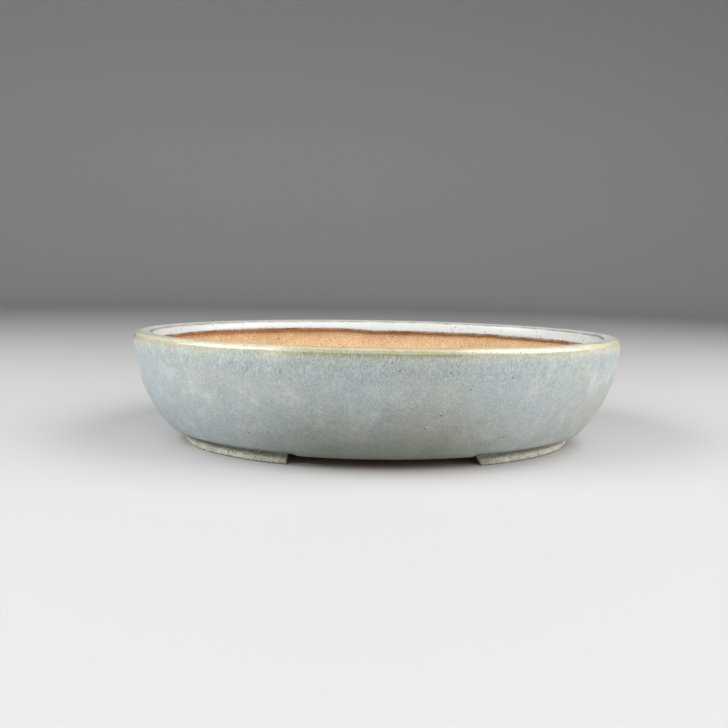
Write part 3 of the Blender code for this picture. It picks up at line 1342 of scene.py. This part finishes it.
@dataclass
class ClayBody:
    """The wall and the lip under the glaze."""

    form: PotForm
    work: HandWork
    finish: Material
    columns: int = 720
    overlap: float = 0.1 * MM
    seat_lap: float = 0.6 * MM
    bare_margin: float = 0.3 * MM
    floor_joint: float = 1.0 * MM
    ledge: Pair = (0.6 * MM, 0.2 * MM)
    edge_drop: float = 0.35 * MM
    roughness_height: float = 0.12 * MM
    roughness_size: float = 5.0 * MM
    noise: HandNoise = field(default_factory=lambda: HandNoise(seed=37))

    def wall_section(self) -> np.ndarray:
        """The wall's section, from under the lip down to the toe on the floor."""
        form = self.form
        seat = form.lip_seat + self.seat_lap
        toe = form.floor_top - self.overlap
        outer_radius, inner_radius = (
            form.bow_radius - depth for depth in (form.clay_face, form.inner_face)
        )
        reach = inner_radius - form.inner_fillet
        meet = math.asin((form.bow_top - toe - form.inner_fillet) / reach)
        fillet_centre = (form.bow_radius - reach * math.cos(meet), toe + form.inner_fillet)
        bare_start = form.glaze_end_lean + self.bare_margin / form.turn_radius
        outer_top, inner_top = (
            math.asin((form.bow_top - seat) / radius) for radius in (outer_radius, inner_radius)
        )
        joint = form.base_inset + self.floor_joint
        return np.concatenate(
            [
                form.bow(form.clay_face, outer_top, form.bow_lean, 12),
                form.turn(form.clay_face, form.bow_lean, bare_start, 6)[1:],
                form.turn(0.0, bare_start, QUARTER, 4),
                [(joint, form.underside), (joint, form.floor_top - self.floor_joint)],
                arc(fillet_centre, form.inner_fillet, QUARTER, meet, 20),
                form.bow(form.inner_face, meet, inner_top, 56)[1:],
            ]
        )

    def lip_section(self) -> np.ndarray:
        """The lip's section, with its lower edge just showing under the glaze."""
        form = self.form
        depth = form.glaze_thickness - self.overlap
        edge = form.lip_face(depth, 5)
        width, rise = self.ledge
        ledge = (form.inner_face + width, form.lip_seat + rise)
        seat = [(depth + rise, form.lip_seat), (form.inner_face, form.lip_seat), ledge]
        return np.concatenate(
            [
                edge,
                [(form.lip_outer_round, form.height - depth)],
                form.shoulder(depth, 5)[1:],
                seat,
                np.linspace(ledge, edge[0] - (0.0, self.edge_drop), 8)[1:],
            ]
        )

    def ring(self, name: str, rows: np.ndarray, is_lip: bool) -> Thing:
        """Carry a section once round the oval and roughen it.

        Args:
            name: the piece's name.
            rows: the closed section.
            is_lip: whether its inner edge hangs as the lip's does.

        Returns:
            The piece.
        """
        points, outward = self.form.oval.sweep(rows, self.columns)
        if is_lip:
            self.work.hang_lip(points, rows[:, :1])
        normals = grid_normals(points, True)
        rough = self.noise.rough(points, self.roughness_size, self.roughness_size / 3)
        points = self.work.shape(points, outward)
        points += normals * (rough * self.roughness_height)[..., None]
        return grid_piece(name, points, True)

    def build(self) -> None:
        """Make the wall and the lip and dress them."""
        wall = self.ring("wall_clay", self.wall_section(), False)
        lip = self.ring("lip_clay", self.lip_section(), True)
        settle(wall, "side_wall", self.finish)
        settle(lip, "rim_lip", self.finish)


@dataclass
class FloorSlab:
    """The flat floor, with its drain and tie-wire holes."""

    form: PotForm
    finish: Material
    inset: float = 25.6 * MM
    edge_round: float = 0.7 * MM
    drain_bore: float = 22.0 * MM
    drain_place: Pair = (56.0 * MM, 0.0)
    wire_bore: float = 6.5 * MM
    wire_place: Pair = (42.0 * MM, 38.0 * MM)
    face_size: float = 1.0 * MM
    roughness_height: float = 0.1 * MM
    roughness_sizes: Pair = (9.0 * MM, 2.5 * MM)
    noise: HandNoise = field(default_factory=lambda: HandNoise(seed=37))

    def loops(self) -> list[np.ndarray]:
        """The floor's outline and its holes, as rows that start with x and y."""
        oval = self.form.oval
        turns = np.linspace(0.0, 2 * math.pi, 64, endpoint=False)
        circle = np.stack([np.cos(turns), np.sin(turns)], axis=1)
        loops = [oval.place(oval.even_angles(200), np.array(self.inset), np.zeros(1))]
        for side in (-1, 1):
            loops.append(circle * self.drain_bore / 2 + np.array(self.drain_place) * (side, 0))
            for row in (-1, 1):
                place = np.array(self.wire_place) * (side, row)
                loops.append(circle * self.wire_bore / 2 + place)
        return loops

    def mesh(self) -> bpy.types.Mesh:
        """Fill the outline, round its edges and give it even faces.

        Returns:
            The mesh in its place.
        """
        thickness = self.form.floor_top - self.form.underside
        curve = bpy.data.curves.new("floor_outline", "CURVE")
        curve.dimensions = "2D"
        curve.fill_mode = "BOTH"
        curve.extrude = thickness / 2 - self.edge_round
        curve.bevel_depth = self.edge_round
        curve.bevel_resolution = 3
        curve.offset = -self.edge_round
        for loop in self.loops():
            spline = curve.splines.new("POLY")
            spline.points.add(len(loop) - 1)
            for point, place in zip(spline.points, loop):
                point.co = (place[0], place[1], 0.0, 1.0)
            spline.use_cyclic_u = True
        outline = add_object("floor_outline", curve)
        outline.location.z = self.form.underside + thickness / 2
        remesh = outline.modifiers.new("even_faces", "REMESH")
        remesh.mode = "VOXEL"
        remesh.voxel_size = self.face_size
        bpy.context.view_layer.update()
        graph = bpy.context.evaluated_depsgraph_get()
        mesh = bpy.data.meshes.new_from_object(outline.evaluated_get(graph))
        mesh.transform(outline.matrix_world)
        bpy.data.objects.remove(outline)
        return mesh

    def build(self) -> None:
        """Make the floor, roughen it and dress it."""
        mesh = self.mesh()
        places = np.empty(len(mesh.vertices) * 3)
        mesh.vertices.foreach_get("co", places)
        places = places.reshape(-1, 3)
        normals = np.array([vertex.normal for vertex in mesh.vertices])
        rough = self.noise.rough(places, *self.roughness_sizes)
        places += normals * (rough * self.roughness_height)[:, None]
        mesh.vertices.foreach_set("co", places.ravel())
        mesh.update()
        mesh.shade_smooth()
        settle(add_object("floor_clay", mesh), "floor_slab", self.finish)


@dataclass
class Feet:
    """Four feet and the glaze on them, left where two gaps cut a low ring."""

    # Each column of a rounded end: how far back from the cut it lies, in millimetres,
    # and its share of the full section.
    CAP = (
        (0.0, 0.03), (0.0, 0.3), (0.0, 0.6), (0.0, 0.85), (0.04, 0.93), (0.15, 0.98), (0.4, 1.0)
    )

    form: PotForm
    clay: Material
    glaze: Material
    front_gap: float = 47.2 * MM
    front_leans: dict[str, float] = field(
        default_factory=lambda: {
            "front_left": 0.6 * MM,
            "front_right": 2.6 * MM,
            "back_left": 1.9 * MM,
            "back_right": 1.3 * MM,
        }
    )
    end_gap: float = 36.7 * MM
    end_arch: float = 14.0 * MM
    end_arch_power: float = 1.9
    top_insets: Pair = (27.2 * MM, 37.0 * MM)
    sole_insets: Pair = (26.2 * MM, 36.5 * MM)
    edge_height: float = 3.1 * MM
    crisp: float = 0.2 * MM
    overlap: float = 0.1 * MM
    glaze_trim: float = 0.15 * MM
    nominal_radius: float = 100.0 * MM
    columns: int = 110
    spacing: float = 0.4 * MM
    clay_roughness: float = 0.14 * MM
    glaze_roughness: float = 0.16 * MM
    roughness_sizes: Pair = (3.0 * MM, 1.1 * MM)
    noise: HandNoise = field(default_factory=lambda: HandNoise(seed=51))

    def clay_section(self) -> np.ndarray:
        """A foot's clay, which narrows downwards on both sides."""
        top = self.form.underside + self.overlap
        corners = [
            (self.top_insets[0], top, self.crisp),
            (self.top_insets[1], top, self.crisp),
            (self.sole_insets[1], 0.0, 0.9 * MM),
            (self.sole_insets[0], 0.0, 0.35 * MM),
        ]
        return rounded_section(corners, self.spacing)

    def glaze_section(self) -> np.ndarray:
        """The foot's glaze: a rough face, a crisp edge, and a cove up to the wall."""
        edge = self.edge_height
        top = self.form.underside + 1.1 * MM
        corners = [
            (25.2 * MM, self.overlap, self.crisp),
            (24.6 * MM, edge, 0.25 * MM),
            (25.3 * MM, edge + 0.4 * MM, 0.5 * MM),
            (25.7 * MM, edge + 1.5 * MM, 0.7 * MM),
            (25.4 * MM, top, self.crisp),
            (27.6 * MM, top, self.crisp),
            (27.6 * MM, edge + 1.0 * MM, self.crisp),
            (26.6 * MM, self.overlap, self.crisp),
        ]
        return rounded_section(corners, self.spacing)

    def cuts(self, section: np.ndarray, lean: float) -> tuple[np.ndarray, np.ndarray]:
        """Angles at which the two gaps cut the first quarter's foot.

        Args:
            section: rows of inset and height.
            lean: how far the cut at the front gap leans over the foot's height.

        Returns:
            The angles at the end gap and at the front gap, for each row.
        """
        angles = np.linspace(0.0, QUARTER, 2001)
        lines = self.form.oval.place(angles[None, :], section[:, :1], section[:, 1:])
        share = np.clip(section[:, 1] / self.form.underside, 0.0, 1.0)
        front = self.front_gap - lean * share
        end = self.end_gap - self.end_arch * (1.0 - (1.0 - share) ** self.end_arch_power)
        at_end = [np.interp(cut, line[:, 1], angles) for cut, line in zip(end, lines)]
        at_front = [np.interp(-cut, -line[:, 0], angles) for cut, line in zip(front, lines)]
        return np.array(at_end), np.array(at_front)

    def foot_points(self, section: np.ndarray, trim: float, lean: float) -> np.ndarray:
        """Grid of a foot in the first quarter.

        Args:
            section: rows of inset and height.
            trim: how far the piece stops short of the cuts.
            lean: how far the cut at the front gap leans over the foot's height.

        Returns:
            Rows round the section, columns along the foot, and x, y, z.
        """
        centre = section.mean(axis=0)
        caps = ([], [])
        for back, size in self.CAP:
            rows = centre + (section - centre) * size
            away = (back * MM + trim) / self.nominal_radius
            for cap, cut, way in zip(caps, self.cuts(rows, lean), (1, -1)):
                cap.append((rows, cut + way * away))
        (_, start), (_, stop) = (cap[-1] for cap in caps)
        between = [
            (section, start * (1 - share) + stop * share)
            for share in np.linspace(0.0, 1.0, self.columns)[1:-1]
        ]
        columns = caps[0] + between + caps[1][::-1]
        grid = [self.form.oval.place(angles, rows[:, 0], rows[:, 1]) for rows, angles in columns]
        return np.stack(grid, axis=1)

    def build(self) -> None:
        """Make the four feet and their glaze, and dress them."""
        kinds = (
            (
                ("foot_clay", "foot", Slot.BARE_CLAY, self.clay),
                (self.clay_section(), 0.0, self.clay_roughness),
            ),
            (
                ("foot_skin", "foot_glaze", Slot.FOOT_GLAZE, self.glaze),
                (self.glaze_section(), self.glaze_trim, self.glaze_roughness),
            ),
        )
        corners = product((("front", -1), ("back", 1)), (("left", -1), ("right", 1)))
        for (depth, y_sign), (side, x_sign) in corners:
            corner = f"{depth}_{side}"
            for (name, node, slot, material), (section, trim, roughness) in kinds:
                points = self.foot_points(section, trim, self.front_leans[corner])
                points = points * (x_sign, y_sign, 1)
                normals = grid_normals(points, False)
                rough = self.noise.rough(points, *self.roughness_sizes)
                points = points + normals * (rough * roughness)[..., None]
                points[..., 2] = np.maximum(points[..., 2], 0.0)
                piece = grid_piece(f"{name}_{corner}", points, False)
                settle(piece, f"{node}_{corner}", material)


@dataclass(frozen=True)
class Viewpoint:
    """Where the photograph was taken from, found by fitting the pot's outline."""

    lens: float = 33.08
    distance: float = 381.84 * MM
    height: float = 89.18 * MM
    pitch: float = 0.1266
    roll: float = 0.0179
    pan: float = -0.0201
    yaw: float = 0.065

    def matrix(self) -> Matrix:
        """Place and direction of the camera beside the pot.

        Returns:
            The camera's matrix.
        """
        level = math.cos(self.pitch)
        forward = Vector(
            (math.sin(self.pan) * level, math.cos(self.pan) * level, -math.sin(self.pitch))
        )
        right = Vector((math.cos(self.pan), -math.sin(self.pan), 0.0))
        up = right.cross(forward)
        rolled_right = math.cos(self.roll) * right + math.sin(self.roll) * up
        rolled_up = math.cos(self.roll) * up - math.sin(self.roll) * right
        axes = Matrix((rolled_right, rolled_up, -forward)).transposed().to_4x4()
        turn = Matrix.Rotation(-self.yaw, 4, "Z")
        return turn @ Matrix.Translation((0.0, -self.distance, self.height)) @ axes


@dataclass(frozen=True)
class SoftBox:
    """One soft light, aimed at the pot. Azimuth 0 is the front, and above 0 the right."""

    name: str
    azimuth: float
    elevation: float
    distance: float
    width: float
    height: float
    power: float
    colour: str

    def build(self) -> None:
        """Hang the light."""
        light = bpy.data.lights.new(self.name, "AREA")
        light.shape = "RECTANGLE"
        light.size = self.width
        light.size_y = self.height
        light.energy = self.power
        light.color = linear(self.colour)[:3]
        azimuth, elevation = math.radians(self.azimuth), math.radians(self.elevation)
        level = math.cos(elevation) * self.distance
        rise = math.sin(elevation) * self.distance
        place = Vector((math.sin(azimuth) * level, -math.cos(azimuth) * level, rise))
        box = add_object(self.name, light)
        box.location = place
        box.rotation_euler = (-place).to_track_quat("-Z", "Y").to_euler()


@dataclass
class Studio:
    """Plain pale floor, soft light and the camera."""

    view: Viewpoint = Viewpoint()
    floor_colour: str = "#BABBBD"
    floor_roughness: float = 0.8
    floor_radius: float = 1.7
    sweep_radius: float = 0.6
    wall_height: float = 1.9
    sky_colour: str = "#E8ECF2"
    sky_strength: float = 0.15
    boxes: tuple[SoftBox, ...] = (
        SoftBox("left_box", -71.0, 38.0, 1.1, 0.65, 0.7, 10.5, "#FFFDFA"),
        SoftBox("right_box", 71.0, 40.0, 1.1, 0.85, 1.1, 15.5, "#FFF9F3"),
        SoftBox("front_box", -10.0, 40.0, 1.3, 2.4, 0.6, 10.8, "#FDFEFF"),
    )

    def build_floor(self) -> None:
        """Lay the floor that the pot stands on, which sweeps up all round far behind it."""
        leans = np.linspace(-QUARTER, 0.0, 13)
        reach = self.floor_radius + self.sweep_radius
        radii = [0.0, *(self.floor_radius + self.sweep_radius * np.cos(leans)), reach]
        heights = [0.0, *(self.sweep_radius * (1.0 + np.sin(leans))), self.wall_height]
        turns = np.linspace(0.0, 2 * math.pi, 96, endpoint=False)
        rings = np.array(
            [[(r * math.cos(t), r * math.sin(t), h) for t in turns] for r, h in zip(radii, heights)]
        )
        index = np.arange(rings.shape[0] * rings.shape[1]).reshape(rings.shape[:2])
        right = np.roll(index, -1, axis=1)
        faces = np.stack([index[:-1], right[:-1], right[1:], index[1:]], axis=-1).reshape(-1, 4)
        mesh = bpy.data.meshes.new("studio_floor")
        mesh.from_pydata(rings.reshape(-1, 3).tolist(), [], faces.tolist())
        mesh.shade_smooth()
        floor = add_object("studio_floor", mesh)
        material, tree = new_material("pale_floor")
        shader = add_node(
            tree,
            "ShaderNodeBsdfPrincipled",
            {"Base Color": linear(self.floor_colour), "Roughness": self.floor_roughness},
        )
        add_node(tree, "ShaderNodeOutputMaterial", {"Surface": shader.outputs["BSDF"]})
        floor.data.materials.append(material)

    def build_sky(self) -> None:
        """Light the studio faintly from all sides."""
        world = bpy.data.worlds.new("soft_sky")
        world.use_nodes = True
        tree = world.node_tree
        tree.nodes.clear()
        light = {"Color": linear(self.sky_colour), "Strength": self.sky_strength}
        sky = add_node(tree, "ShaderNodeBackground", light)
        add_node(tree, "ShaderNodeOutputWorld", {"Surface": sky.outputs["Background"]})
        bpy.context.scene.world = world

    def build_camera(self) -> None:
        """Set the camera where the photograph was taken."""
        data = bpy.data.cameras.new("camera")
        data.lens = self.view.lens
        data.sensor_width = 36.0
        data.clip_start = 10 * MM
        camera = add_object("camera", data)
        camera.matrix_world = self.view.matrix()
        bpy.context.scene.camera = camera

    def build(self) -> None:
        """Set up floor, lights, sky and camera."""
        self.build_floor()
        for box in self.boxes:
            box.build()
        self.build_sky()
        self.build_camera()
        bpy.context.scene.view_settings.view_transform = "Standard"
        LOG.info("studio: floor, %d lights and camera", len(self.boxes))


def main() -> None:
    """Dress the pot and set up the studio."""
    logging.basicConfig(level=logging.INFO, format="%(message)s")
    form = PotForm.from_solids()
    work = HandWork(form)
    clay = GroggedClay().material()
    GlazedBody(form, work, SatinGlaze().material()).build()
    ClayBody(form, work, clay).build()
    FloorSlab(form, clay).build()
    Feet(form, clay, ThinGlaze().material()).build()
    Studio().build()


if __name__ == "__main__":
    main()
